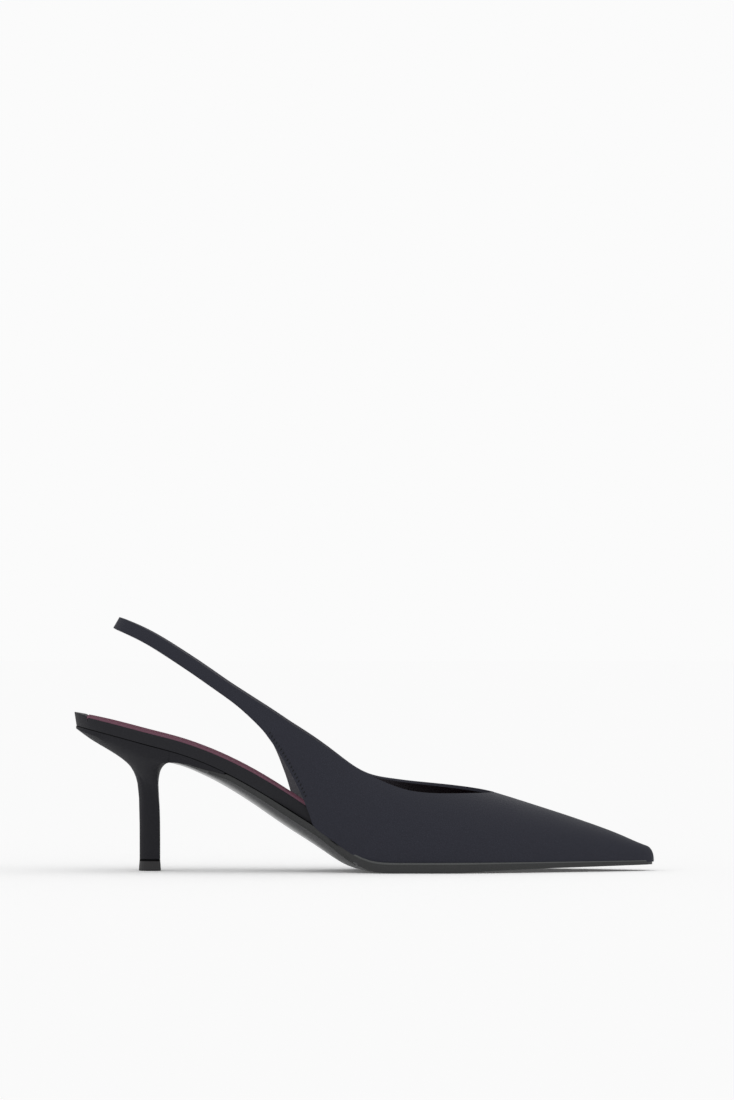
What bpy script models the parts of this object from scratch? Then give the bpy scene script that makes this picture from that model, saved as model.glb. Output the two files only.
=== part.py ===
"""Pointed slingback pump for a right foot, on a covered stiletto heel.

Metres, +Z up. The toe points along +X, the outer side of the foot is at -Y and the inner side
at +Y, and the heel tip and the ball of the sole stand on z = 0. The origin is under the middle
of the shoe's box. Every piece is worked out from one last: the seam line between upper and
sole, the plan outline, and the rounded section above them.
"""

import math
from typing import NamedTuple

import bmesh
import bpy

# Driving sizes
SHOE_LENGTH = 0.2640
BALL_WIDTH = 0.0800
SEAT_HEIGHT = 0.0659
SEAT_ROUND = 0.0260
TOE_ROUND = 0.0030
INSTEP = 0.0500
SOLE_THICKNESS = 0.0046
TOE_SPRING = 0.0028
SOLE_EDGE = 0.0007
RIM_HEIGHT = 0.0082
RIM_RAKE = 0.0010
SOCK_THICKNESS = 0.0013
SOCK_INSET = 0.0004
SEAT_DISH = 0.0008
WALL = 0.0016
STEM_SET = 0.0045
STEM_DEPTH = 0.0093
STEM_WIDTH = 0.0104
TIP_HEIGHT = 0.0050
TIP_FLARE = 0.0004
HEEL_SET = 0.0009
TONGUE_SET = 0.0002
STRAP_REACH = 0.0666
STRAP_RISE = 0.0427
STRAP_WIDTH = 0.0057
STRAP_THICKNESS = 0.0016
CLEARANCE = 0.0003
FOOTBED_PLAY = 0.0012

# Places along the shoe, as shares of its length from the back of the rim
THROAT = 0.7235
STRAP_JOINT = 0.3260
OUTER_CORNER = 0.4120
INNER_CORNER = 0.3810
BREAST = 0.1650
TONGUE_END = 0.2614
SOCK_BACK = 0.0240
SOCK_FRONT = 0.9300

# How far back from its corner a quarter covers the rim, a share of the way to the strap
COVER_START = 0.35
# Crown of the outsole's tail, a share of its thickness
TAIL_CROWN = 0.90

# Shape of the last's section: 2 is an ellipse, more is squarer
FULLNESS = 2.2
# Plan shape of the strap's loop: 2 is an ellipse, more is a straighter U
LOOP_FULLNESS = 2.4
# Section of the sole's rounded underside, in the same way
WAIST_FULLNESS = 2.4

BACK = -SHOE_LENGTH / 2
TIP = SHOE_LENGTH / 2
# The nose of the toe: how far back the columns of the vamp start to fan, and where they meet
NOSE_REACH = 0.0120
NOSE_SET = 0.0050


class Outline(NamedTuple):
    """Plan of the last, in shares of BALL_WIDTH from the line through the heel."""

    along: float
    outer: float
    inner: float
    ridge: float


OUTLINE = [
    Outline(0.000, 0.325, 0.325, 0.000),
    Outline(0.100, 0.328, 0.328, 0.000),
    Outline(0.200, 0.320, 0.312, 0.000),
    Outline(0.270, 0.313, 0.283, 0.000),
    Outline(0.350, 0.318, 0.246, 0.005),
    Outline(0.420, 0.370, 0.256, 0.020),
    Outline(0.500, 0.460, 0.340, 0.038),
    Outline(0.576, 0.500, 0.438, 0.050),
    Outline(0.640, 0.497, 0.497, 0.055),
    Outline(0.700, 0.462, 0.498, 0.058),
    Outline(0.770, 0.385, 0.448, 0.058),
    Outline(0.845, 0.276, 0.354, 0.055),
    Outline(0.920, 0.158, 0.250, 0.050),
    Outline(1.000, 0.026, 0.118, 0.046),
]


class Seam(NamedTuple):
    """Height of the seam line, a share of the way from the ball up to the seat."""

    along: float
    rise: float


SEAM = [
    Seam(0.000, 1.000),
    Seam(0.066, 0.930),
    Seam(0.127, 0.858),
    Seam(0.183, 0.793),
    Seam(0.234, 0.711),
    Seam(0.284, 0.604),
    Seam(0.330, 0.491),
    Seam(0.375, 0.368),
    Seam(0.410, 0.276),
    Seam(0.458, 0.134),
    Seam(0.478, 0.0734),
    Seam(0.498, 0.0294),
    Seam(0.517, 0.0065),
    Seam(0.538, 0.000),
    Seam(1.000, 0.000),
]


class Sole(NamedTuple):
    """Sole below the seam: depth in SOLE_THICKNESS, spring in TOE_SPRING, and how much of the
    depth is the crown of the underside."""

    along: float
    depth: float
    crown: float
    spring: float


SOLE = [
    Sole(0.1500, 1.66, 0.80, 0.0),
    Sole(0.1740, 1.33, 0.84, 0.0),
    Sole(0.2000, 1.20, 0.88, 0.0),
    Sole(0.2170, 1.24, 0.90, 0.0),
    Sole(0.2520, 1.37, 0.92, 0.0),
    Sole(0.2860, 1.52, 0.92, 0.0),
    Sole(0.3200, 1.70, 0.92, 0.0),
    Sole(0.3550, 1.87, 0.90, 0.0),
    Sole(0.4240, 1.92, 0.86, 0.0),
    Sole(0.4580, 1.90, 0.70, 0.0),
    Sole(0.4773, 1.62, 0.50, 0.0),
    Sole(0.4913, 1.39, 0.32, 0.0),
    Sole(0.5102, 1.126, 0.10, 0.0),
    Sole(0.5303, 1.006, 0.00, 0.0),
    Sole(0.5455, 1.00, 0.00, 0.0),
    Sole(0.636, 1.00, 0.00, 0.0),
    Sole(0.735, 1.00, 0.00, 0.40),
    Sole(0.803, 1.00, 0.00, 0.62),
    Sole(0.905, 1.00, 0.00, 0.82),
    Sole(1.000, 1.00, 0.00, 1.00),
]


class Margin(NamedTuple):
    """How far the sole's edge stands out past the upper, in SOLE_EDGE."""

    along: float
    share: float


SOLE_MARGIN = [
    Margin(0.150, -1.0),
    Margin(0.430, -1.0),
    Margin(0.540, 1.0),
    Margin(1.000, 1.0),
]


class Tongue(NamedTuple):
    """Thickness of the heel's tongue, a share of the depth between seam and underside."""

    along: float
    share: float


TONGUE = [
    Tongue(0.1500, 0.84),
    Tongue(0.1740, 0.71),
    Tongue(0.1910, 0.59),
    Tongue(0.2200, 0.46),
    Tongue(0.2460, 0.225),
    Tongue(0.2614, 0.070),
]


class Pad(NamedTuple):
    """Footbed above the seam, sock included, a share of RIM_HEIGHT."""

    along: float
    share: float


PAD = [
    Pad(0.000, 0.77),
    Pad(0.066, 0.80),
    Pad(0.130, 0.82),
    Pad(0.230, 0.87),
    Pad(0.284, 0.95),
    Pad(0.360, 1.00),
    Pad(0.420, 0.93),
    Pad(0.520, 0.56),
    Pad(0.600, 0.47),
    Pad(1.000, 0.47),
]


class Crown(NamedTuple):
    """The last above the seam: ridge height in INSTEP, swell of each side in BALL_WIDTH."""

    along: float
    ridge: float
    outer_swell: float
    inner_swell: float


CROWN = [
    Crown(0.3260, 1.200, 0.060, 0.100),
    Crown(0.4240, 1.120, 0.046, 0.084),
    Crown(0.5000, 1.000, 0.030, 0.058),
    Crown(0.5760, 0.860, 0.020, 0.030),
    Crown(0.6515, 0.730, 0.015, 0.018),
    Crown(0.7235, 0.622, 0.013, 0.014),
    Crown(0.8030, 0.490, 0.011, 0.011),
    Crown(0.8720, 0.370, 0.009, 0.009),
    Crown(0.9410, 0.236, 0.006, 0.006),
    Crown(0.9820, 0.136, 0.003, 0.003),
    Crown(1.0000, 0.100, 0.000, 0.000),
]


class Topline(NamedTuple):
    """Height of the opening's edge above the seam, in INSTEP."""

    along: float
    outer: float
    inner: float


TOPLINE = [
    Topline(0.3260, 0.806, 0.806),
    Topline(0.3700, 0.800, 0.800),
    Topline(0.4400, 0.790, 0.788),
    Topline(0.4750, 0.788, 0.774),
    Topline(0.5000, 0.779, 0.762),
    Topline(0.5144, 0.765, 0.756),
    Topline(0.5356, 0.724, 0.745),
    Topline(0.5564, 0.682, 0.730),
    Topline(0.5773, 0.650, 0.716),
    Topline(0.6148, 0.626, 0.697),
    Topline(0.6564, 0.621, 0.676),
    Topline(0.6981, 0.621, 0.648),
    Topline(0.7235, 0.622, 0.622),
]


class QuarterEdge(NamedTuple):
    """Rear edge of a quarter: height above the seam in INSTEP, and the share of the way back
    from its corner at the seam to the strap."""

    height: float
    back: float


QUARTER_EDGE = [
    QuarterEdge(0.000, 0.000),
    QuarterEdge(0.090, 0.085),
    QuarterEdge(0.180, 0.190),
    QuarterEdge(0.258, 0.290),
    QuarterEdge(0.336, 0.420),
    QuarterEdge(0.423, 0.575),
    QuarterEdge(0.484, 0.715),
    QuarterEdge(0.530, 0.850),
    QuarterEdge(0.588, 1.000),
]


class Cup(NamedTuple):
    """Heel below the seat: share of the way in to the stem, depth behind the stem and depth
    beside it past the tongue, in the heel's height, and set-back of the breast in STEM_SET."""

    inward: float
    rear: float
    side: float
    breast: float


CUP = [
    Cup(0.000, 0.016, 0.000, 0.00),
    Cup(0.120, 0.046, 0.026, 0.42),
    Cup(0.258, 0.077, 0.056, 0.80),
    Cup(0.430, 0.105, 0.095, 1.04),
    Cup(0.600, 0.126, 0.150, 1.17),
    Cup(0.774, 0.151, 0.220, 1.21),
    Cup(0.889, 0.184, 0.285, 1.14),
    Cup(0.957, 0.233, 0.350, 1.07),
    Cup(1.000, 0.360, 0.450, 1.00),
]


class Band(NamedTuple):
    """Strap from the quarter to the back: share of its reach, of its rise, half width in
    STRAP_WIDTH, and how far its width leans forward, in degrees."""

    reach: float
    rise: float
    half: float
    lean: float


BAND = [
    Band(0.000, 0.000, 0.95, 0.0),
    Band(0.040, 0.058, 0.74, 24.0),
    Band(0.097, 0.137, 0.59, 36.0),
    Band(0.252, 0.307, 0.50, 35.0),
    Band(0.525, 0.600, 0.50, 33.0),
    Band(0.796, 0.860, 0.50, 31.0),
    Band(0.956, 0.974, 0.50, 30.0),
    Band(1.000, 1.000, 0.50, 30.0),
]


class Colour(NamedTuple):
    """A finish: linear base colour, roughness and metallic value."""

    rgb: tuple
    roughness: float
    metallic: float = 0.0


UPPER_LEATHER = Colour((0.034, 0.036, 0.047), 0.45)
HEEL_LEATHER = Colour((0.026, 0.026, 0.030), 0.40)
RIM_LEATHER = Colour((0.026, 0.026, 0.030), 0.50)
SOLE_LEATHER = Colour((0.060, 0.061, 0.060), 0.50)
SOCK_LEATHER = Colour((0.130, 0.060, 0.080), 0.55)
TIP_RUBBER = Colour((0.040, 0.040, 0.044), 0.60)

# Heel: how late the side profile takes over from the rear one, and how sharp the breast is
CUP_BLEND = 1.6
BREAST_SHARPNESS = 5
# Heel: how the points of a half ring gather towards the back of the seat and of the stem
SEAT_EASE = 1.8
STEM_EASE = 1.6
STEM_TURN = 1.5

PLATE_STATIONS = 46
TAIL_STATIONS = 10
TONGUE_STATIONS = 12
UNDERSIDE_POINTS = 13
FOOTBED_POINTS = 7
STRAP_STATIONS = 26
STEM_STEPS = 16
UPPER_ROWS = 12
# Columns of the upper: round the nose, along the vamp, beside the opening and on a quarter's
# rear edge, and how far those beside the opening gather at the throat
NOSE_COLUMNS = 6
VAMP_COLUMNS = 14
OPENING_COLUMNS = 24
EDGE_COLUMNS = 15
COLUMN_GATHER = 1.6

SHARP_ANGLE = 40
MERGE = 0.00002


def smooth(rows, key, value, at):
    """Monotone cubic curve through two columns of a table, read at one place."""
    xs = [getattr(row, key) for row in rows]
    ys = [getattr(row, value) for row in rows]
    if at <= xs[0]:
        return ys[0]
    if at >= xs[-1]:
        return ys[-1]
    runs = [b - a for a, b in zip(xs, xs[1:])]
    slopes = [(b - a) / run for a, b, run in zip(ys, ys[1:], runs)]

    def tangent(index):
        if index == 0:
            return slopes[0]
        if index == len(slopes):
            return slopes[-1]
        before, after = slopes[index - 1], slopes[index]
        if before * after <= 0:
            return 0.0
        return 2 * before * after / (before + after)

    index = max(i for i, x in enumerate(xs[:-1]) if x <= at)
    run = runs[index]
    u = (at - xs[index]) / run
    start = (1 + 2 * u) * (1 - u) ** 2 * ys[index] + u * (1 - u) ** 2 * run * tangent(index)
    end = u * u * (3 - 2 * u) * ys[index + 1] - u * u * (1 - u) * run * tangent(index + 1)
    return start + end


def mix(a, b, share):
    """The value a share of the way from a to b."""
    return a + (b - a) * share


def along_of(x):
    """Share of the shoe's length at a place x."""
    return (x - BACK) / SHOE_LENGTH


def x_of(along):
    """Place x at a share of the shoe's length."""
    return BACK + SHOE_LENGTH * along


def seam_z(x):
    """Height of the line where upper and footbed meet the sole and heel."""
    rise = smooth(SEAM, "along", "rise", along_of(x))
    return SOLE_THICKNESS + (SEAT_HEIGHT - SOLE_THICKNESS) * rise


def underside_depth(x):
    """Depth of the sole's underside below the seam, along its middle."""
    along = along_of(x)
    depth = SOLE_THICKNESS * smooth(SOLE, "along", "depth", along)
    depth -= TOE_SPRING * smooth(SOLE, "along", "spring", along)
    return min(depth, seam_z(x))


def tongue_depth(x):
    """Thickness of the heel's tongue between the seam and the outsole's tail."""
    return underside_depth(x) * smooth(TONGUE, "along", "share", along_of(x))


def plan(x, back=BACK, tip=TIP, grow=0.0):
    """Outer and inner edge of a plate at x, when the plate's ends are at back and tip."""
    along = (x - back) / (tip - back)
    outer = BALL_WIDTH * smooth(OUTLINE, "along", "outer", along)
    inner = BALL_WIDTH * smooth(OUTLINE, "along", "inner", along)
    toe = max(tip - x, 0.0)
    heel = max(x - back, 0.0)
    factor = math.sqrt(toe / (toe + TOE_ROUND))
    if heel < SEAT_ROUND:
        factor *= math.sqrt(1 - (1 - heel / SEAT_ROUND) ** 2)
    middle = (inner - outer) / 2
    half = ((inner + outer) / 2 + grow) * factor
    return middle - half, middle + half


def stations(back, front, count, round_back, round_front):
    """Places from back to front, closer together at an end that is round."""
    places = []
    for step in range(count + 1):
        share = step / count
        if round_back and round_front:
            share = (1 - math.cos(math.pi * share)) / 2
        elif round_front:
            share = math.sin(math.pi * share / 2)
        places.append(mix(back, front, share))
    return places


def new_collection(name):
    """A collection of the scene."""
    collection = bpy.data.collections.new(name)
    bpy.context.scene.collection.children.link(collection)
    return collection


def new_material(name, colour):
    """A Principled material with one of the shoe's colours."""
    material = bpy.data.materials.new(name)
    material.use_nodes = True
    shader = material.node_tree.nodes["Principled BSDF"]
    shader.inputs["Base Color"].default_value = (*colour.rgb, 1.0)
    shader.inputs["Roughness"].default_value = colour.roughness
    shader.inputs["Metallic"].default_value = colour.metallic
    return material


def add_object(name, mesh_data, collection, colour):
    """An object with its own material, shaded smooth but for its real edges."""
    thing = bpy.data.objects.new(name, mesh_data)
    collection.objects.link(thing)
    mesh_data.materials.append(new_material(name + " finish", colour))
    mesh_data.shade_smooth()
    mesh_data.set_sharp_from_angle(angle=math.radians(SHARP_ANGLE))
    return thing


def loft(name, rings):
    """A closed mesh through rings of points, each with the same count, with capped ends."""
    mesh_data = bpy.data.meshes.new(name)
    shape = bmesh.new()
    loops = [[shape.verts.new(point) for point in ring] for ring in rings]
    count = len(loops[0])
    for first, second in zip(loops, loops[1:]):
        for i in range(count):
            j = (i + 1) % count
            shape.faces.new((first[i], first[j], second[j], second[i]))
    shape.faces.new(loops[0])
    shape.faces.new(loops[-1])
    bmesh.ops.recalc_face_normals(shape, faces=shape.faces)
    shape.to_mesh(mesh_data)
    shape.free()
    return mesh_data


def bowed(x, edges, z, sag, points):
    """Points across a plate at x, sagging like a shallow dish."""
    row = []
    for step in range(points):
        share = step / (points - 1)
        bow = 1 - (2 * share - 1) ** 2
        row.append((x, mix(edges[0], edges[1], share), z - sag * bow))
    return row


def rounded(x, edges, z, sag, points):
    """Points across the sole at x, on the rounded section that its waist has."""
    row = []
    for step in range(points):
        turn = math.pi * step / (points - 1)
        out = math.copysign(abs(math.cos(turn)) ** (2 / WAIST_FULLNESS), math.cos(turn))
        down = max(math.sin(turn), 0.0) ** (2 / WAIST_FULLNESS)
        row.append((x, mix(edges[0], edges[1], (1 - out) / 2), z - sag * down))
    return row


def slab_ring(under, over):
    """Section of a plate: its underside and back along its top."""
    return under + over[::-1]


def make_outsole(collection):
    """The sole: toe spring, flat ball, crowned waist and the thin tail under the tongue."""
    start = x_of(BREAST) + CLEARANCE
    tongue_end = x_of(TONGUE_END)
    front = TIP - SOLE_EDGE
    tail = [mix(start, tongue_end, step / TAIL_STATIONS) for step in range(TAIL_STATIONS + 1)]
    body = stations(tongue_end + CLEARANCE, front - CLEARANCE / 2, PLATE_STATIONS, False, True)
    rings = []
    for x in tail + body:
        grow = SOLE_EDGE * smooth(SOLE_MARGIN, "along", "share", along_of(x))
        depth = underside_depth(x)
        crown = depth * smooth(SOLE, "along", "crown", along_of(x))
        top = seam_z(x) - CLEARANCE / 2
        if x <= tongue_end:
            top = seam_z(x) - tongue_depth(x) - CLEARANCE
            crown = min(crown, (depth - tongue_depth(x)) * TAIL_CROWN)
        edge = seam_z(x) - depth + crown
        edges = plan(x, BACK, front, grow)
        under = rounded(x, edges, edge, crown, UNDERSIDE_POINTS)
        rings.append(slab_ring(under, bowed(x, edges, top, 0.0, 2)))
    return add_object("outsole", loft("outsole", rings), collection, SOLE_LEATHER)


def footbed_top(x):
    """Top of the footbed with its sock."""
    return seam_z(x) + RIM_HEIGHT * smooth(PAD, "along", "share", along_of(x))


def dish(x):
    """How far the footbed's middle sags, fading out towards the back."""
    return SEAT_DISH * min((x - BACK) / SEAT_ROUND, 1.0)


def footbed_plan(x):
    """Edges of the footbed: flush with the sole at the back, inside the upper further on."""
    covered_back = x_of(STRAP_JOINT)
    covered = mix(x_of(INNER_CORNER), covered_back, COVER_START)
    share = min(max((x - covered_back) / (covered - covered_back), 0.0), 1.0)
    inset = (WALL + FOOTBED_PLAY) * share * share * (3 - 2 * share)
    return plan(x, BACK, TIP - WALL - 2 * FOOTBED_PLAY, -inset)


def footbed_places():
    """Stations of the footbed and its sock, with the lip behind the sock among them."""
    lip = x_of(SOCK_BACK)
    front = TIP - WALL - 2 * FOOTBED_PLAY - CLEARANCE
    places = stations(BACK + CLEARANCE / 2, front, PLATE_STATIONS, True, True)
    places = [x for x in places if abs(x - lip) > 2 * CLEARANCE]
    return sorted(places + [lip - CLEARANCE, lip, lip + CLEARANCE])


def make_insole(collection):
    """The covered footbed, with the lip behind the sock and a shallow dish."""
    lip = x_of(SOCK_BACK)
    rings = []
    for x in footbed_places():
        sunk = 0.0 if x < lip else SOCK_THICKNESS + CLEARANCE
        top = footbed_top(x) - sunk
        edges = footbed_plan(x)
        raked = x + RIM_RAKE * max(1 - (x - BACK) / SEAT_ROUND, 0.0)
        under = bowed(raked, edges, seam_z(raked) + CLEARANCE / 2, 0.0, 2)
        rings.append(slab_ring(under, bowed(x, edges, top, dish(x), FOOTBED_POINTS)))
    return add_object("insole", loft("insole", rings), collection, RIM_LEATHER)


def make_sock(collection):
    """The sock lining on the footbed, from just behind the seat to the toe."""
    back = x_of(SOCK_BACK) + CLEARANCE / 2
    rings = []
    for x in footbed_places():
        if x < back or x > x_of(SOCK_FRONT):
            continue
        outer, inner = footbed_plan(x)
        edges = (outer + SOCK_INSET, inner - SOCK_INSET)
        top = footbed_top(x)
        bottom = top - SOCK_THICKNESS
        under = bowed(x, edges, bottom, dish(x), FOOTBED_POINTS)
        rings.append(slab_ring(under, bowed(x, edges, top, dish(x), FOOTBED_POINTS)))
    return add_object("sock_lining", loft("sock_lining", rings), collection, SOCK_LEATHER)


def stem_section(count, depth, width, front):
    """Half of the stem's D-shaped section: pairs of x and half width, back to front."""
    pairs = []
    for step in range(count + 1):
        share = step / count
        turn = min(share * STEM_TURN, 1.0) * math.pi / 2
        pairs.append((front - depth * (1 - share ** STEM_EASE), width / 2 * math.sin(turn)))
    return pairs


def make_heel(collection, cutters):
    """The covered heel: cup under the seat, D-shaped stem, and the tongue joined in front."""
    back = BACK + HEEL_SET
    breast = x_of(BREAST)
    stem_front = breast - STEM_SET
    height = SEAT_HEIGHT - TIP_HEIGHT
    count = STEM_STEPS
    stem = stem_section(count, STEM_DEPTH, STEM_WIDTH, stem_front)
    rings = []
    for level, row in enumerate([CUP[0]] + CUP):
        left, right = [], []
        for step, (stem_x, stem_half) in enumerate(stem):
            share = step / count
            seat_x = mix(back, breast, share ** SEAT_EASE)
            outer, inner = plan(seat_x, back - CLEARANCE / 4, TIP)
            x = mix(seat_x, stem_x, row.inward)
            x = mix(x, breast - STEM_SET * row.breast, share ** BREAST_SHARPNESS)
            side = tongue_depth(breast) + height * row.side
            depth = mix(height * row.rear, side, share ** CUP_BLEND)
            if level == 0:
                depth = CLEARANCE / 2
            z = seam_z(x) - depth
            left.append((x, mix(outer, -stem_half, row.inward), z))
            right.append((x, mix(inner, stem_half, row.inward), z))
        rings.append(left + right[::-1])
    bottom = TIP_HEIGHT + CLEARANCE
    left = [(x, -half, bottom) for x, half in stem]
    right = [(x, half, bottom) for x, half in stem]
    rings.append(left + right[::-1])
    heel = add_object("heel", stack("heel", rings), collection, HEEL_LEATHER)
    tongue_rings = []
    tongue_end = x_of(TONGUE_END) - CLEARANCE
    for step in range(TONGUE_STATIONS + 1):
        x = mix(breast - STEM_SET, tongue_end, step / TONGUE_STATIONS)
        edges = plan(x, BACK, TIP, -TONGUE_SET)
        under = bowed(x, edges, seam_z(x) - tongue_depth(x), 0.0, 2)
        over = bowed(x, edges, seam_z(x) - CLEARANCE / 2, 0.0, 2)
        tongue_rings.append(slab_ring(under, over))
    tongue = add_object("tongue", loft("tongue", tongue_rings), cutters, HEEL_LEATHER)
    tongue.hide_render = True
    tongue.display_type = "WIRE"
    union = heel.modifiers.new("Join tongue", "BOOLEAN")
    union.operation = "UNION"
    union.solver = "EXACT"
    union.object = tongue
    return heel


def stack(name, rings):
    """A closed mesh through rings that run up one side and back down the other, so that both
    end caps are strips from side to side."""
    mesh_data = bpy.data.meshes.new(name)
    shape = bmesh.new()
    loops = [[shape.verts.new(point) for point in ring] for ring in rings]
    count = len(loops[0])
    for first, second in zip(loops, loops[1:]):
        for i in range(count):
            j = (i + 1) % count
            shape.faces.new((first[i], first[j], second[j], second[i]))
    for loop in (loops[0], loops[-1]):
        for i in range(count // 2 - 1):
            shape.faces.new((loop[i], loop[i + 1], loop[count - 2 - i], loop[count - 1 - i]))
    bmesh.ops.remove_doubles(shape, verts=shape.verts, dist=MERGE)
    bmesh.ops.recalc_face_normals(shape, faces=shape.faces)
    shape.to_mesh(mesh_data)
    shape.free()
    return mesh_data


def make_heel_tip(collection):
    """The top piece under the stem, a little wider than the stem above it."""
    front = x_of(BREAST) - STEM_SET
    rings = []
    for z, flare in ((TIP_HEIGHT, 0.0), (0.0, TIP_FLARE)):
        stem = stem_section(STEM_STEPS, STEM_DEPTH + 2 * flare, STEM_WIDTH + 2 * flare, front + flare)
        left = [(x, -half, z) for x, half in stem]
        right = [(x, half, z) for x, half in stem]
        rings.append(left + right[::-1])
    return add_object("heel_tip", stack("heel_tip", rings), collection, TIP_RUBBER)


def ridge_z(x):
    """Height of the last's ridge."""
    return seam_z(x) + INSTEP * smooth(CROWN, "along", "ridge", along_of(x))


def topline_turn(x, side):
    """Angle up the section at which the opening's edge lies, a quarter turn on the ridge."""
    along = along_of(x)
    if along >= THROAT:
        return math.pi / 2
    height = smooth(TOPLINE, "along", side, along)
    return turn_at(along, height)


def turn_at(along, height):
    """Angle up the section at a height above the seam, in INSTEP."""
    share = min(height / smooth(CROWN, "along", "ridge", along), 1.0)
    return math.asin(share ** (FULLNESS / 2))


def last_point(x, side, turn):
    """Point on the last's side, from the seam at 0 up to the ridge at a quarter turn."""
    toe = TIP - x
    ridge_x = x
    if toe < NOSE_REACH:
        ridge_x = TIP - mix(NOSE_SET, NOSE_REACH, toe / NOSE_REACH)
    edge = plan(x)[0 if side == "outer" else 1]
    ridge_y = BALL_WIDTH * smooth(OUTLINE, "along", "ridge", along_of(ridge_x))
    out = math.cos(turn) ** (2 / FULLNESS)
    up = math.sin(turn) ** (2 / FULLNESS)
    swell = BALL_WIDTH * smooth(CROWN, "along", side + "_swell", along_of(x))
    swell *= math.sin(2 * turn) * (-1 if side == "outer" else 1)
    base = seam_z(x) + CLEARANCE / 2
    return (
        mix(ridge_x, x, out),
        mix(ridge_y, edge, out) + swell,
        mix(base, ridge_z(ridge_x), up),
    )


def side_columns(side):
    """Columns of the upper's side from the toe to the strap: x, lowest and highest angle."""
    throat = x_of(THROAT)
    corner = x_of(OUTER_CORNER if side == "outer" else INNER_CORNER)
    joint = x_of(STRAP_JOINT)
    columns = []
    for step in range(NOSE_COLUMNS):
        columns.append((TIP - NOSE_REACH * (step / NOSE_COLUMNS) ** 2, 0.0))
    for step in range(VAMP_COLUMNS):
        columns.append((mix(TIP - NOSE_REACH, throat, step / VAMP_COLUMNS), 0.0))
    for step in range(OPENING_COLUMNS):
        share = (step / OPENING_COLUMNS) ** COLUMN_GATHER
        columns.append((mix(throat, corner, share), 0.0))
    for row in range(EDGE_COLUMNS + 1):
        height = QUARTER_EDGE[-1].height * row / EDGE_COLUMNS
        x = mix(corner, joint, smooth(QUARTER_EDGE, "height", "back", height))
        columns.append((x, turn_at(along_of(x), height)))
    return [(x, low, topline_turn(x, side)) for x, low in columns]


def make_upper(collection):
    """Vamp and quarters: the last's surface from seam to topline, given a wall."""
    rows = UPPER_ROWS
    shape = bmesh.new()
    for side in ("outer", "inner"):
        grid = []
        for x, low, high in side_columns(side):
            turns = [mix(low, high, row / rows) for row in range(rows + 1)]
            grid.append([shape.verts.new(last_point(x, side, turn)) for turn in turns])
        for first, second in zip(grid, grid[1:]):
            for row in range(rows):
                corners = [first[row], first[row + 1], second[row + 1], second[row]]
                if side == "outer":
                    corners.reverse()
                shape.faces.new(corners)
    bmesh.ops.remove_doubles(shape, verts=shape.verts, dist=MERGE)
    bmesh.ops.recalc_face_normals(shape, faces=shape.faces)
    mesh_data = bpy.data.meshes.new("upper")
    shape.to_mesh(mesh_data)
    shape.free()
    upper = add_object("upper", mesh_data, collection, UPPER_LEATHER)
    add_wall(upper, WALL)
    return upper


def add_wall(thing, thickness):
    """Give an open surface its wall, on the inside."""
    wall = thing.modifiers.new("Wall", "SOLIDIFY")
    wall.thickness = thickness
    wall.offset = -1.0
    wall.use_even_offset = True
    wall.use_rim = True


def band_edge(side, turn, across):
    """Point on the strap's outer face: turn runs from the quarter to the back of the loop and
    across from the lower edge at -1 to the upper edge at 1."""
    joint = x_of(STRAP_JOINT)
    reach = math.sin(turn) ** (2 / LOOP_FULLNESS)
    spread = math.cos(turn) ** (2 / LOOP_FULLNESS)
    half = STRAP_WIDTH * smooth(BAND, "reach", "half", reach) * across
    lean = math.radians(smooth(BAND, "reach", "lean", reach))
    low = QUARTER_EDGE[-1].height
    high = TOPLINE[0].outer
    middle_z = seam_z(joint) + INSTEP * (low + high) / 2
    x = joint - CLEARANCE - STRAP_REACH * reach
    z = middle_z + STRAP_RISE * smooth(BAND, "reach", "rise", reach)
    height = mix(low, high, (across + 1) / 2)
    side_y = last_point(joint, side, turn_at(STRAP_JOINT, height))[1]
    return x + half * math.sin(lean), side_y * spread, z + half * math.cos(lean)


def make_strap(collection):
    """The slingback strap: a band from the outer quarter round the back to the inner one."""
    turns = [step / STRAP_STATIONS * math.pi / 2 for step in range(STRAP_STATIONS + 1)]
    path = [("outer", turn) for turn in turns]
    path += [("inner", turn) for turn in reversed(turns[:-1])]
    shape = bmesh.new()
    grid = []
    for side, turn in path:
        grid.append([shape.verts.new(band_edge(side, turn, row - 1.0)) for row in range(3)])
    for first, second in zip(grid, grid[1:]):
        for row in range(2):
            shape.faces.new((first[row], first[row + 1], second[row + 1], second[row]))
    bmesh.ops.recalc_face_normals(shape, faces=shape.faces)
    mesh_data = bpy.data.meshes.new("slingback_strap")
    shape.to_mesh(mesh_data)
    shape.free()
    strap = add_object("slingback_strap", mesh_data, collection, UPPER_LEATHER)
    add_wall(strap, STRAP_THICKNESS)
    return strap


def main():
    """Build the shoe in an empty scene."""
    for thing in list(bpy.data.objects):
        bpy.data.objects.remove(thing)
    shoe = new_collection("Slingback pump")
    cutters = new_collection("Cutters")
    make_outsole(shoe)
    make_heel(shoe, cutters)
    make_heel_tip(shoe)
    make_insole(shoe)
    make_sock(shoe)
    make_upper(shoe)
    make_strap(shoe)


main()
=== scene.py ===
"""Slingback pump, dressed: nappa upper, covered heel and footbed, kid sock, leather sole.

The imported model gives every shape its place. Each operator below copies one of its solids, or
two that are one skin on the real shoe, refines the copy and gives it its leather.
"""

import math

import bmesh
import bpy
from mathutils import Matrix, Vector
from mathutils.bvhtree import BVHTree


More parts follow.
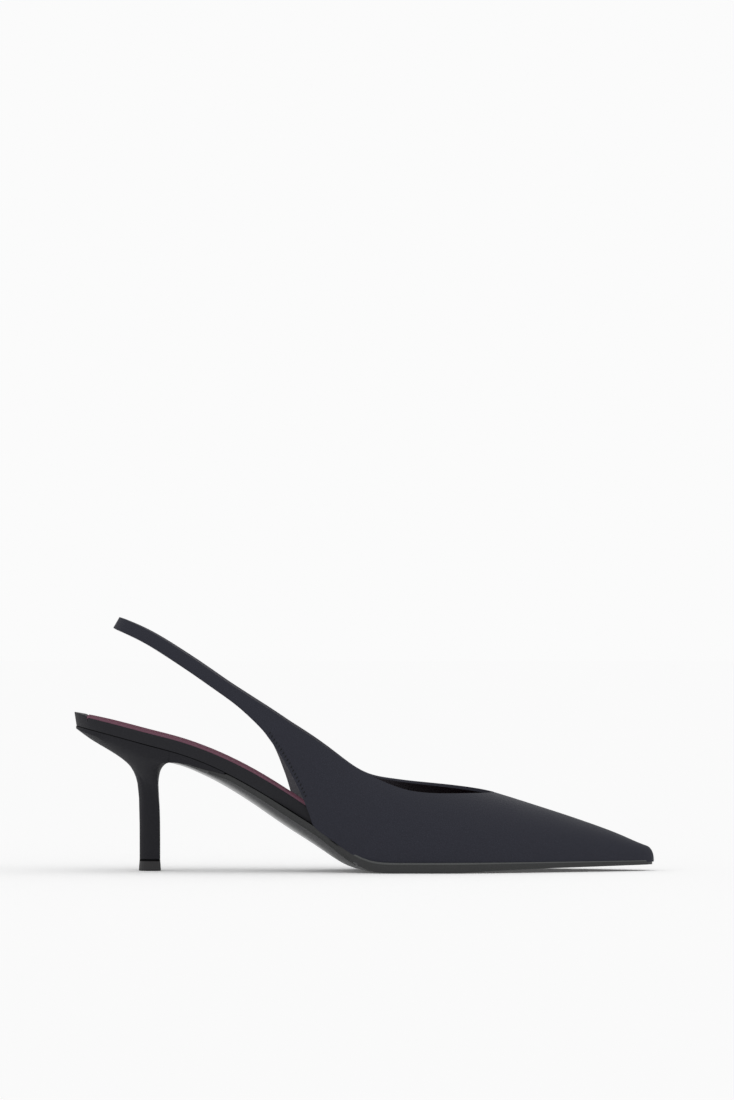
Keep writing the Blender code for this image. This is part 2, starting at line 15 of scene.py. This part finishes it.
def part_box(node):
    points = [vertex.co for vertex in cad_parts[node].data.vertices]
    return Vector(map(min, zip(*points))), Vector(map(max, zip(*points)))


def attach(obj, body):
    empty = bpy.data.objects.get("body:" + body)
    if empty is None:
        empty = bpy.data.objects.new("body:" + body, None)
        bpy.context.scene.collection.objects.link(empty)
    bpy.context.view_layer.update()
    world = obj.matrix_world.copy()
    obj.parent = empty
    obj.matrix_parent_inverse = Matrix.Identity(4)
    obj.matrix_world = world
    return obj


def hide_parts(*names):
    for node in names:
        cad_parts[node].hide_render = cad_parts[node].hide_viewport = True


bl_info = {
    "name": "Slingback pump",
    "version": (1, 0, 0),
    "blender": (4, 5, 0),
    "location": "View3D > Sidebar > Pump",
    "description": "Dresses the packed slingback pump and sets it in a studio",
    "category": "Object",
}

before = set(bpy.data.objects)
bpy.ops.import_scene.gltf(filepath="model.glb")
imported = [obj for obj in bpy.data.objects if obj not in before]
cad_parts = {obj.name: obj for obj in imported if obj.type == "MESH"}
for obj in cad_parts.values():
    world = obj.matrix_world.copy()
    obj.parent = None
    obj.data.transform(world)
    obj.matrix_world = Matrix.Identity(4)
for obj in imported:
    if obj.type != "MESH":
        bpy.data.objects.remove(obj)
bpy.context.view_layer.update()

# Corners this close are one corner, and an edge bent more than this is a real edge of the shoe.
MERGE = 0.00001
SHARP = math.radians(50.0)
# How far two triangles may bend and skew to be joined into one four-sided face.
JOIN_BEND = math.radians(60.0)
JOIN_SKEW = math.radians(90.0)
# A face looks up or down when its normal leans this much that way.
LEVEL = 0.5

# Strap and quarters: where their ends lie near the joint, and the smoothing of the weld.
QUARTER_END = 0.0007
STRAP_END = 0.001
JOINT_ABOVE = 0.060
STRAP_CUTS = 5
WELD_REACH = 0.006
WELD_ROUNDS = 2
# The upper's lower edge runs this near to the sole.
LASTING_MARGIN = 0.0016
# Along the shoe, where the quarters' lining, painted lighter for the light it catches, gives way to
# the vamp's.
LINING_FADE = (-0.012, 0.022)

# The quarters' back edges, and the heights between which they are stitched.
BACK_OF = -0.018
BACK_EDGE = (0.020, 0.066)
STITCHED = (0.034, 0.0635)
STITCH_SLANT = 0.45

# Edges of the footbed's lip lie this near to the back of the sock, and the sock's own end nearer.
LIP_REACH = 0.001
SOCK_END = 0.0004

# The sole's edge: where its painted highlight line starts ahead of the quarters' back, how long
# it takes to come in, and the height above which the sole is waist.
WELT_START = 0.027
HIGHLIGHT_FADE = 0.012
WAIST_ABOVE = 0.012

# The heel is smoothed between these distances behind the sole's tail, above this height.
BLEND = (0.031, 0.0016)
BLEND_ABOVE = 0.040
BLEND_ROUNDS = 4

FLOOR_SIZE = 8.0
FLOOR_DROP = 0.0001
CAMERA_AWAY = 4.22
CAMERA_AIM = Vector((0.00125, 0.0, 0.1458))
# Height of the picture at the shoe, and the camera's film that fills it.
VIEW_HEIGHT = 0.5005
FILM = 36.0


def linear(code):
    """Colour of an sRGB hex code in linear light, with full alpha."""
    shades = [int(code[i : i + 2], 16) / 255 for i in (1, 3, 5)]
    curve = [s / 12.92 if s <= 0.04045 else ((s + 0.055) / 1.055) ** 2.4 for s in shades]
    return (*curve, 1.0)


def length(name, about, default):
    """A length that a user may change."""
    return bpy.props.FloatProperty(
        name=name, description=about, default=default, min=0.0, unit="LENGTH", precision=4
    )


def colour(name, about, code):
    """A colour that a user may change."""
    return bpy.props.FloatVectorProperty(
        name=name, description=about, subtype="COLOR", size=4, min=0.0, max=1.0,
        default=linear(code),
    )


class PumpSizes(bpy.types.PropertyGroup):
    """Sizes of the dressing."""

    wall: length("Upper wall", "Nappa and lining together", 0.0016)
    fold: length("Folded edge", "Rounding of the upper's folded edges", 0.00055)
    tuck: length("Lasting tuck", "How far the upper sinks into the sole's feather line", 0.0008)
    wrap: length("Wrap rounding", "Rounding where leather wraps the footbed", 0.0006)
    swell: length("Wrap swell", "How far the wrapped leather rises round the sock", 0.0008)
    # Painted shade under the footbed's rim.
    rim_line: length("Rim line", "Dark line under the footbed's rim", 0.000432)
    trim: length("Sole trim", "Rounding of the sole's trimmed edge", 0.0005)
    # Painted shade along the top of the sole's waist.
    waist_line: length("Waist line", "Dark line along the top of the sole's waist", 0.000324)
    skive: length("Skive", "How much thinner the sole is at the heel breast", 0.0011)
    skive_length: length("Skive length", "How far forward the sole is thinned", 0.016)
    # Painted shade over the top piece.
    tip_shade_line: length("Painted shade line", "Dark line over the top piece", 0.000288)
    seat: length("Seat", "Play between two packed solids, closed by the dressing", 0.0003)
    line: length("Edge rounding", "Rounding of every other edge", 0.00018)
    stitch: length("Stitch", "Length of one stitch", 0.0015)
    stitch_gap: length("Stitch spacing", "Distance from one stitch to the next", 0.0018)
    stitch_inset: length("Stitch inset", "From the quarter's edge to the stitches", 0.0016)
    thread: length("Thread", "Thickness of the thread", 0.00052)


class PumpColours(bpy.types.PropertyGroup):
    """Colours of the leathers, thread and rubber."""

    upper: colour("Upper", "Nappa of vamp, quarters and strap", "#30313a")
    cover: colour("Covers", "Nappa round heel and footbed", "#28282c")
    # Painted light: a lighter grey than the vamp lining, for the light caught behind the quarter's
    # edge.
    lining: colour("Quarter lining", "Pigskin inside the quarters and strap", "#646469")
    vamp_lining: colour("Vamp lining", "Lining inside the vamp", "#38383c")
    sock: colour("Sock", "Kid leather of the sock", "#6f4856")
    sock_edge: colour("Sock edge", "Cut edge of the sock", "#785563")
    sole: colour("Sole", "Polished underside", "#2b2c2f")
    sole_edge: colour("Sole edge", "Inked edge of the sole", "#2a2b2c")
    # Painted highlight: a lighter grey along the top of the sole's edge, for the light it catches
    # from above.
    edge_highlight: colour("Painted highlight line", "Top of the sole's edge, painted lighter as a highlight", "#4a4c4c")
    rubber: colour("Top piece", "Moulded rubber under the heel", "#2c2b2d")
    # Also the colour of the painted shade line over the top piece.
    thread: colour("Thread", "Sewing thread", "#0c0c0e")
    # Painted shade in the seams of footbed and sole.
    seam_shade: colour("Seam lines", "Shade between two leathers", "#0d0d0f")
    floor: colour("Floor", "Studio floor", "#fbfbfb")


# Shapes


def cad_copy(name):
    """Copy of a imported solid, merged at its corners."""
    shape = bmesh.new()
    shape.from_mesh(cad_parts[name].data)
    bmesh.ops.remove_doubles(shape, verts=shape.verts, dist=MERGE)
    return shape


def to_quads(shape):
    """Join the loose triangles into the strips they came from."""
    bmesh.ops.join_triangles(
        shape, faces=shape.faces, angle_face_threshold=JOIN_BEND,
        angle_shape_threshold=JOIN_SKEW, topology_influence=1.0,
    )


def quad_copy(name):
    """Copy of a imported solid, in four-sided faces."""
    shape = cad_copy(name)
    to_quads(shape)
    return shape


def skins(shape):
    """Groups of faces with no sharp edge between them, the widest first."""
    groups, seen = [], set()
    for face in shape.faces:
        if face in seen:
            continue
        seen.add(face)
        group, waiting = [], [face]
        while waiting:
            here = waiting.pop()
            group.append(here)
            for edge in here.edges:
                if edge.calc_face_angle(math.pi) > SHARP:
                    continue
                fresh = [other for other in edge.link_faces if other not in seen]
                seen.update(fresh)
                waiting.extend(fresh)
        groups.append(group)
    return sorted(groups, key=lambda group: -sum(face.calc_area() for face in group))


def outer_skin(name):
    """Outer surface of a walled solid, as an open sheet of quads."""
    shape = cad_copy(name)
    keep = set(skins(shape)[0])
    rest = [face for face in shape.faces if face not in keep]
    bmesh.ops.delete(shape, geom=rest, context="FACES")
    to_quads(shape)
    return shape


def edge_ring(start):
    """Edges that face each other across a strip of quads, from its open end on."""
    ring, face = [start], start.link_faces[0]
    while face is not None:
        near = set(ring[-1].verts)
        ring.append(next(edge for edge in face.edges if not near & set(edge.verts)))
        face = next((other for other in ring[-1].link_faces if other is not face), None)
    return ring


def looks(face, facing):
    """Whether a face looks up (1) or down (-1)."""
    return face.normal.z * facing > LEVEL


def sharp_edges(shape, facing=0.0):
    """Sharp edges: all of them, or those round a face that looks up (1) or down (-1)."""
    sharp = [edge for edge in shape.edges if edge.calc_face_angle(0.0) > SHARP]
    if not facing:
        return sharp
    return [edge for edge in sharp if any(looks(face, facing) for face in edge.link_faces)]


def round_edges(shape, edges, width, material=-1, clamp=True):
    """Round edges, the new faces in the neighbours' material unless one is given."""
    bmesh.ops.bevel(
        shape, geom=edges, offset=width, offset_type="OFFSET", affect="EDGES",
        segments=2, profile=0.5, material=material, clamp_overlap=clamp,
    )


def hold(shape, material):
    """Keep the faces of one material as narrow as they are when the mesh is smoothed."""
    crease = shape.edges.layers.float.new("crease_edge")
    for edge in shape.edges:
        if [face.material_index for face in edge.link_faces].count(material) == 1:
            edge[crease] = 1.0


def relax(shape, picks, rounds, held):
    """Even out the picked corners, but none of the held edges."""
    fixed = {vert for edge in held for vert in edge.verts}
    loose = [vert for vert in shape.verts if picks(vert.co) and vert not in fixed]
    for _ in range(rounds):
        bmesh.ops.smooth_vert(
            shape, verts=loose, factor=0.5, use_axis_x=True, use_axis_y=True, use_axis_z=True
        )


def lift(shape, height, behind=-math.inf):
    """Move up the faces that look up, apart from those further back than behind."""
    verts = {
        vert for face in shape.faces
        if looks(face, 1.0) and face.calc_center_median().x > behind
        for vert in face.verts
    }
    bmesh.ops.translate(shape, verts=list(verts), vec=(0.0, 0.0, height))


def piece(name, shape, materials, nodes):
    """Make the object of a finished mesh, and hide the solids it stands for."""
    data = bpy.data.meshes.new(name)
    shape.to_mesh(data)
    shape.free()
    for material in materials:
        data.materials.append(material)
    data.shade_smooth()
    thing = bpy.data.objects.new(name, data)
    bpy.context.scene.collection.objects.link(thing)
    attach(thing, "root")
    if nodes:
        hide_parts(*nodes)
    return thing


def subdivide(thing, levels):
    """Subdivision that renders as it shows."""
    smooth = thing.modifiers.new("Smooth", "SUBSURF")
    smooth.levels = levels
    smooth.render_levels = levels


# Materials


def add(tree, kind, settings=None, links=None):
    """Add a node with its settings and links."""
    node = tree.nodes.new(kind)
    for key, value in (settings or {}).items():
        if isinstance(key, str) and hasattr(node, key):
            setattr(node, key, value)
        else:
            node.inputs[key].default_value = value
    for key, source in (links or {}).items():
        tree.links.new(source, node.inputs[key])
    return node


def blank(name):
    """An empty material, its tree and the Object coordinates."""
    material = bpy.data.materials.new(name)
    material.use_nodes = True
    tree = material.node_tree
    tree.nodes.clear()
    place = add(tree, "ShaderNodeTexCoord").outputs["Object"]
    return material, tree, place


def shade(tree, settings, links):
    """Principled surface into the material's output."""
    surface = add(tree, "ShaderNodeBsdfPrincipled", settings, links)
    add(tree, "ShaderNodeOutputMaterial", None, {"Surface": surface.outputs["BSDF"]})


def fine_leather(name, tone, grain, relief, roughness, specular, fade=None):
    """Leather, or what is worked like it: a cell grain of the given size and depth, broken by
    pores, with soft clouds in tone and gloss. Real nappa's cells are about 0.4 mm; they are drawn
    twice as coarse, to show at the picture's scale. With fade it takes another tone from one
    place along the shoe to the next."""
    material, tree, place = blank(name)
    # A slight warp keeps the cells from looking laid out by rule.
    bend = add(
        tree, "ShaderNodeTexNoise", {"Scale": 0.35 / grain, "Detail": 3.0}, {"Vector": place}
    )
    warp = add(
        tree, "ShaderNodeMix", {"data_type": "VECTOR", "Factor": 0.0006},
        {"A": place, "B": bend.outputs["Color"]},
    )
    cells = add(
        tree, "ShaderNodeTexVoronoi", {"feature": "DISTANCE_TO_EDGE", "Scale": 1.0 / grain},
        {"Vector": warp.outputs["Result"]},
    )
    pebble = add(
        tree, "ShaderNodeMapRange",
        {"interpolation_type": "SMOOTHSTEP", "From Min": 0.0, "From Max": 0.35},
        {"Value": cells.outputs["Distance"]},
    )
    pores = add(
        tree, "ShaderNodeTexNoise", {"Scale": 3.0 / grain, "Detail": 2.0}, {"Vector": place}
    )
    height = add(
        tree, "ShaderNodeMath", {"operation": "MULTIPLY_ADD", 1: 0.35},
        {0: pores.outputs["Fac"], 2: pebble.outputs["Result"]},
    )
    bump = add(
        tree, "ShaderNodeBump", {"Strength": 0.5, "Distance": relief},
        {"Height": height.outputs[0]},
    )
    # Clouds of about 26 mm, as a dyed and handled hide shows.
    cloud = add(
        tree, "ShaderNodeTexNoise", {"Scale": 38.0, "Detail": 3.0, "Roughness": 0.55},
        {"Vector": place},
    )
    gloss = add(
        tree, "ShaderNodeMapRange",
        {
            "From Min": 0.3, "From Max": 0.7,
            "To Min": roughness - 0.04, "To Max": roughness + 0.05,
        },
        {"Value": cloud.outputs["Fac"]},
    )
    dark = tuple(0.82 * part for part in tone[:3]) + (1.0,)
    light = tuple(min(1.14 * part, 1.0) for part in tone[:3]) + (1.0,)
    depth = add(
        tree, "ShaderNodeMix", {"data_type": "RGBA", "A": dark, "B": light},
        {"Factor": cloud.outputs["Fac"]},
    )
    # The creases between the cells are darker.
    grain_tone = add(
        tree, "ShaderNodeMix", {"data_type": "RGBA", "A": dark},
        {"Factor": pebble.outputs["Result"], "B": depth.outputs["Result"]},
    )
    if fade:
        start, end, other = fade
        along = add(tree, "ShaderNodeSeparateXYZ", None, {"Vector": place}).outputs["X"]
        share = add(
            tree, "ShaderNodeMapRange", {"From Min": start, "From Max": end}, {"Value": along}
        )
        grain_tone = add(
            tree, "ShaderNodeMix", {"data_type": "RGBA", "B": other},
            {"Factor": share.outputs["Result"], "A": grain_tone.outputs["Result"]},
        )
    shade(
        tree, {"IOR": 1.5, "Specular IOR Level": specular},
        {
            "Base Color": grain_tone.outputs["Result"], "Roughness": gloss.outputs["Result"],
            "Normal": bump.outputs["Normal"],
        },
    )
    return material


def seam_line(name, tone):
    """The dark of a seam: nearly black and dull, so that a narrow face reads as a shadow. Footbed
    and sole share one."""
    found = bpy.data.materials.get(name)
    return found or fine_leather(name, tone, 0.0005, 0.00003, 0.80, 0.05)


# Operators


def weld_strap(shape, joint):
    """Add the strap's skin to the upper's and weld the two at both joints."""
    ends = [
        v for v in shape.verts
        if v.is_boundary and v.co.x < joint + QUARTER_END and v.co.z > JOINT_ABOVE
    ]
    strap = outer_skin("slingback_strap")
    starts = [
        edge for edge in strap.edges
        if edge.is_boundary and all(v.co.x > joint - STRAP_END and v.co.y < 0.0 for v in edge.verts)
    ]
    across = [edge for start in starts for edge in edge_ring(start)]
    bmesh.ops.subdivide_edges(strap, edges=across, cuts=STRAP_CUTS, use_grid_fill=True)
    data = bpy.data.meshes.new("strap")
    strap.to_mesh(data)
    strap.free()
    old = set(shape.verts)
    shape.from_mesh(data)
    bpy.data.meshes.remove(data)
    band = [v for v in shape.verts if v not in old]
    tails = [v for v in band if v.is_boundary and v.co.x > joint - STRAP_END]
    pairs = {}
    for sign in (-1.0, 1.0):
        mine = sorted((v for v in tails if v.co.y * sign > 0.0), key=lambda v: v.co.z)
        theirs = sorted((v for v in ends if v.co.y * sign > 0.0), key=lambda v: v.co.z)
        pairs.update(zip(mine, theirs))
    bmesh.ops.weld_verts(shape, targetmap=pairs)
    rim = [edge for edge in shape.edges if edge.is_boundary]
    relax(shape, lambda spot: abs(spot.x - joint) < WELD_REACH, WELD_ROUNDS, rim)


class PUMP_OT_upper(bpy.types.Operator):
    """Vamp, quarters and strap: one skin of nappa with its lining and folded edges"""

    bl_idname = "pump.upper"
    bl_label = "Upper"

    def execute(self, context):
        sizes, tones = context.scene.pump_sizes, context.scene.pump_colours
        shape = outer_skin("upper")
        weld_strap(shape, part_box("slingback_strap")[1].x)
        sole = BVHTree.FromBMesh(cad_copy("outsole"))
        margin = [
            v for v in shape.verts
            if v.is_boundary and sole.find_nearest(v.co)[3] < LASTING_MARGIN
        ]
        bmesh.ops.translate(shape, verts=margin, vec=(0.0, 0.0, -sizes.tuck))
        # Soft blue-black with a satin sheen that never turns to a highlight.
        nappa = fine_leather("Black nappa, aniline", tones.upper, 0.0008, 0.00004, 0.60, 0.12)
        # Dry and grey. Its lighter grey at the quarters and strap is painted light, for the light
        # caught behind the quarter's edge; towards the vamp it fades to the darker vamp lining.
        lining = fine_leather(
            "Pigskin lining, painted light", tones.lining, 0.0011, 0.00003, 0.70, 0.15,
            (*LINING_FADE, tones.vamp_lining),
        )
        upper = piece(
            "pump_upper", shape, [nappa, lining], ["upper", "slingback_strap"]
        )
        wall = upper.modifiers.new("Wall", "SOLIDIFY")
        wall.thickness = sizes.wall
        wall.offset = -1.0
        wall.use_even_offset = True
        wall.material_offset = 1
        fold = upper.modifiers.new("Folded edge", "BEVEL")
        fold.width = sizes.fold
        fold.segments = 2
        fold.limit_method = "ANGLE"
        fold.angle_limit = SHARP
        subdivide(upper, 2)
        return {"FINISHED"}


def edge_at(edges, height, sign):
    """Back edge of one quarter at a height: the spot and the edge's direction there."""
    spots = []
    for edge in edges:
        low, high = sorted(edge.verts, key=lambda v: v.co.z)
        if low.co.y * sign > 0.0 and low.co.z <= height < high.co.z:
            share = (height - low.co.z) / (high.co.z - low.co.z)
            spots.append((low.co.lerp(high.co, share), (high.co - low.co).normalized()))
    if not spots:
        raise RuntimeError("the quarter has no back edge at " + str(height))
    return min(spots, key=lambda found: found[0].x)


class PUMP_OT_stitches(bpy.types.Operator):
    """Stitches along the back edge of each quarter"""

    bl_idname = "pump.stitches"
    bl_label = "Stitches"

    def execute(self, context):
        sizes, tones = context.scene.pump_sizes, context.scene.pump_colours
        skin = outer_skin("upper")
        tree = BVHTree.FromBMesh(skin)
        edges = [
            edge for edge in skin.edges
            if edge.is_boundary
            and all(v.co.x < BACK_OF and BACK_EDGE[0] < v.co.z < BACK_EDGE[1] for v in edge.verts)
        ]
        half = (sizes.stitch / 2, sizes.thread / 2, sizes.thread / 2, 1.0)
        shape = bmesh.new()
        for sign in (-1.0, 1.0):
            height, top = STITCHED
            while height < top:
                spot, along = edge_at(edges, height, sign)
                normal = tree.find_nearest(spot)[1]
                inward = along.cross(normal).normalized()
                inward *= math.copysign(1.0, inward.x)
                place, normal = tree.find_nearest(spot + inward * sizes.stitch_inset)[:2]
                slant = (inward + STITCH_SLANT * along).normalized()
                side = normal.cross(slant).normalized()
                turn = Matrix((slant, side, normal)).transposed().to_4x4()
                bmesh.ops.create_uvsphere(
                    shape, u_segments=6, v_segments=5, radius=1.0,
                    matrix=Matrix.Translation(place) @ turn @ Matrix.Diagonal(half),
                )
                height += sizes.stitch_gap * along.z
        skin.free()
        # Dull and almost black, with the fine ridges of the twist.
        material, tree, place = blank("Bonded polyester thread")
        twist = add(
            tree, "ShaderNodeTexWave", {"Scale": 900.0, "Distortion": 1.0}, {"Vector": place}
        )
        bump = add(
            tree, "ShaderNodeBump", {"Strength": 0.4, "Distance": 0.00004},
            {"Height": twist.outputs["Fac"]},
        )
        shade(
            tree, {"Base Color": tones.thread, "Roughness": 0.7, "Specular IOR Level": 0.3},
            {"Normal": bump.outputs["Normal"]},
        )
        piece("quarter_stitches", shape, [material], [])
        return {"FINISHED"}


class PUMP_OT_footbed(bpy.types.Operator):
    """Covered footbed and the kid sock glued into it"""

    bl_idname = "pump.footbed"
    bl_label = "Footbed"

    def execute(self, context):
        sizes, tones = context.scene.pump_sizes, context.scene.pump_colours
        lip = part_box("sock_lining")[0].x

        def at_lip(edge):
            return all(abs(vert.co.x - lip) < LIP_REACH for vert in edge.verts)

        shape = quad_copy("insole")
        wrapped = [edge for edge in sharp_edges(shape, 1.0) if not at_lip(edge)]
        for edge in sharp_edges(shape):
            if at_lip(edge) and abs(edge.verts[0].co.z - edge.verts[1].co.z) > LIP_REACH:
                wrapped.append(edge)
        round_edges(shape, wrapped, sizes.wrap)
        lift(shape, sizes.swell, lip)
        # Painted shade: a narrow dark band along the rim's lower edge stands for the shadow in the
        # seam over heel and sole.
        round_edges(shape, sharp_edges(shape, -1.0), sizes.rim_line, material=1, clamp=False)
        hold(shape, 1)
        # Stretched round the rim: blacker than the upper, with the same low sheen.
        cover = fine_leather("Black nappa, wrapped", tones.cover, 0.0008, 0.00004, 0.60, 0.14)
        seam_shade = seam_line("Seam shade, painted", tones.seam_shade)
        subdivide(piece("footbed_rim", shape, [cover, seam_shade], ["insole"]), 1)

        shape = quad_copy("sock_lining")
        for face in shape.faces:
            face.material_index = 0 if looks(face, 1.0) else 1
        tail = [v for v in shape.verts if v.co.x < lip + SOCK_END]
        bmesh.ops.translate(shape, verts=tail, vec=(-sizes.seat, 0.0, 0.0))
        round_edges(shape, sharp_edges(shape), sizes.line)
        # Matt burgundy, with no highlight at all; the cut edge shows a paler fibre.
        kid = fine_leather("Burgundy kid", tones.sock, 0.0007, 0.00003, 0.85, 0.02)
        cut = fine_leather("Burgundy kid, cut edge", tones.sock_edge, 0.0004, 0.00003, 0.85, 0.02)
        subdivide(piece("kid_sock", shape, [kid, cut], ["sock_lining"]), 1)
        return {"FINISHED"}


class PUMP_OT_sole(bpy.types.Operator):
    """Leather sole with its inked edge and polished underside"""

    bl_idname = "pump.sole"
    bl_label = "Sole"

    def execute(self, context):
        sizes, tones = context.scene.pump_sizes, context.scene.pump_colours
        shape = quad_copy("outsole")
        for face in shape.faces:
            face.material_index = 0 if looks(face, -1.0) else 1
        lift(shape, sizes.seat)
        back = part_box("outsole")[0].x
        below = {vert for face in shape.faces if looks(face, -1.0) for vert in face.verts}
        for vert in below:
            share = max(1.0 - (vert.co.x - back) / sizes.skive_length, 0.0)
            vert.co.z += sizes.skive * share * share
        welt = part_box("upper")[0].x + WELT_START
        top = sharp_edges(shape, 1.0)
        rand = [edge for edge in top if min(v.co.x for v in edge.verts) > welt]
        waist = [
            edge for edge in top
            if edge not in rand and min(v.co.z for v in edge.verts) > WAIST_ABOVE
        ]
        round_edges(shape, sharp_edges(shape, -1.0), sizes.line)
        waist = [edge for edge in waist if edge.is_valid]
        # Painted shade: a narrow dark band along the top of the waist stands for the shadow in the
        # seam under the footbed's rim.
        round_edges(shape, waist, sizes.waist_line, material=3)
        rand = [edge for edge in rand if edge.is_valid]
        # The rounded top of the sole's front edge carries the painted highlight.
        round_edges(shape, rand, sizes.trim, material=2)
        hold(shape, 3)
        # Polished until it mirrors the pale floor.
        under = fine_leather("Polished sole leather", tones.sole, 0.0016, 0.00002, 0.22, 1.0)
        # Ink leaves the edge half gloss. The lighter line along its top is a painted highlight,
        # fading in from the welt.
        edge = fine_leather("Inked sole edge", tones.sole_edge, 0.0009, 0.00003, 0.42, 0.42)
        highlight_layer = fine_leather(
            "Sole edge, painted highlight", tones.edge_highlight, 0.0009, 0.00002, 0.36, 0.45,
            (welt + HIGHLIGHT_FADE, welt, tones.sole_edge),
        )
        seam_shade = seam_line("Seam shade, painted", tones.seam_shade)
        layers = [under, edge, highlight_layer, seam_shade]
        subdivide(piece("leather_sole", shape, layers, ["outsole"]), 1)
        return {"FINISHED"}


class PUMP_OT_heel(bpy.types.Operator):
    """Covered heel and its top piece"""

    bl_idname = "pump.heel"
    bl_label = "Heel"

    def execute(self, context):
        sizes, tones = context.scene.pump_sizes, context.scene.pump_colours
        shape = quad_copy("heel")
        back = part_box("outsole")[0].x
        start, end = (back - reach for reach in BLEND)
        relax(
            shape, lambda spot: start < spot.x < end and spot.z > BLEND_ABOVE, BLEND_ROUNDS,
            sharp_edges(shape, 1.0),
        )
        lift(shape, sizes.seat)
        round_edges(shape, sharp_edges(shape), sizes.line)
        # Pulled tight over the core, so a little smoother and duller than the wrapped rim.
        cover = fine_leather("Black nappa, heel cover", tones.cover, 0.0008, 0.00004, 0.62, 0.10)
        subdivide(piece("covered_heel", shape, [cover], ["heel"]), 1)

        shape = quad_copy("heel_tip")
        lift(shape, sizes.seat)
        # Painted shade: a narrow dark band round the top piece's upper edge stands for the shadow
        # in the seam under the heel.
        round_edges(shape, sharp_edges(shape, 1.0), sizes.tip_shade_line, material=1)
        round_edges(shape, sharp_edges(shape), sizes.line)
        # Moulded, with a slight bloom that makes it greyer than the leather above.
        rubber = fine_leather("Moulded rubber top piece", tones.rubber, 0.0005, 0.00003, 0.60, 0.40)
        tip_shade = seam_line("Painted shade line", tones.thread)
        subdivide(piece("top_piece", shape, [rubber, tip_shade], ["heel_tip"]), 1)
        return {"FINISHED"}


class PUMP_OT_stage(bpy.types.Operator):
    """Pale floor, soft light and the camera"""

    bl_idname = "pump.stage"
    bl_label = "Stage"

    def execute(self, context):
        tones = context.scene.pump_colours
        scene = context.scene
        shape = bmesh.new()
        bmesh.ops.create_grid(shape, x_segments=1, y_segments=1, size=FLOOR_SIZE)
        bmesh.ops.translate(shape, verts=shape.verts, vec=(0.0, 0.0, -FLOOR_DROP))
        data = bpy.data.meshes.new("studio_floor")
        shape.to_mesh(data)
        shape.free()
        # White without a sheen. A trace of glow keeps its shadows as pale as the photo's.
        material, tree, _ = blank("Matt white paper")
        shade(
            tree,
            {
                "Base Color": tones.floor, "Roughness": 1.0, "Specular IOR Level": 0.0,
                "Emission Color": tones.floor, "Emission Strength": 0.08,
            },
            {},
        )
        data.materials.append(material)
        floor = bpy.data.objects.new("studio_floor", data)
        scene.collection.objects.link(floor)

        world = bpy.data.worlds.new("White studio")
        world.use_nodes = True
        tree = world.node_tree
        tree.nodes.clear()
        white = (1.0, 1.0, 1.0, 1.0)
        seen = add(tree, "ShaderNodeBackground", {"Color": tones.floor, "Strength": 1.0})
        cast = add(tree, "ShaderNodeBackground", {"Color": white, "Strength": 0.85})
        path = add(tree, "ShaderNodeLightPath")
        both = add(
            tree, "ShaderNodeMixShader", None,
            {0: path.outputs["Is Camera Ray"], 1: cast.outputs[0], 2: seen.outputs[0]},
        )
        add(tree, "ShaderNodeOutputWorld", None, {"Surface": both.outputs[0]})
        scene.world = world
        scene.view_settings.view_transform = "Standard"

        lamp = bpy.data.lights.new("Overhead softbox", "SUN")
        lamp.angle = math.radians(70.0)
        lamp.energy = 0.20
        light = bpy.data.objects.new("Overhead softbox", lamp)
        light.rotation_euler = (math.radians(12.0), 0.0, 0.0)
        scene.collection.objects.link(light)

        camera = bpy.data.objects.new("Camera", bpy.data.cameras.new("Camera"))
        camera.location = CAMERA_AIM + Vector((0.0, -CAMERA_AWAY, 0.0))
        camera.rotation_euler = (math.pi / 2, 0.0, 0.0)
        camera.data.lens = FILM * CAMERA_AWAY / VIEW_HEIGHT
        camera.data.clip_end = 60.0
        scene.collection.objects.link(camera)
        scene.camera = camera
        return {"FINISHED"}


STEPS = ("upper", "stitches", "footbed", "sole", "heel", "stage")


class PUMP_PT_panel(bpy.types.Panel):
    """The steps of the dressing, in order"""

    bl_label = "Slingback pump"
    bl_space_type = "VIEW_3D"
    bl_region_type = "UI"
    bl_category = "Pump"

    def draw(self, context):
        for step in STEPS:
            self.layout.operator("pump." + step)
        for group in (context.scene.pump_sizes, context.scene.pump_colours):
            box = self.layout.box()
            for name in group.__annotations__:
                box.prop(group, name)


CLASSES = (
    PumpSizes,
    PumpColours,
    PUMP_OT_upper,
    PUMP_OT_stitches,
    PUMP_OT_footbed,
    PUMP_OT_sole,
    PUMP_OT_heel,
    PUMP_OT_stage,
    PUMP_PT_panel,
)


def register():
    """Add the classes and the scene's settings."""
    for kind in CLASSES:
        bpy.utils.register_class(kind)
    bpy.types.Scene.pump_sizes = bpy.props.PointerProperty(type=PumpSizes)
    bpy.types.Scene.pump_colours = bpy.props.PointerProperty(type=PumpColours)


def unregister():
    """Remove the settings and the classes."""
    del bpy.types.Scene.pump_colours
    del bpy.types.Scene.pump_sizes
    for kind in reversed(CLASSES):
        bpy.utils.unregister_class(kind)


def main():
    """Dress the shoe and set the stage."""
    register()
    for step in STEPS:
        getattr(bpy.ops.pump, step)()


if __name__ == "__main__":
    main()
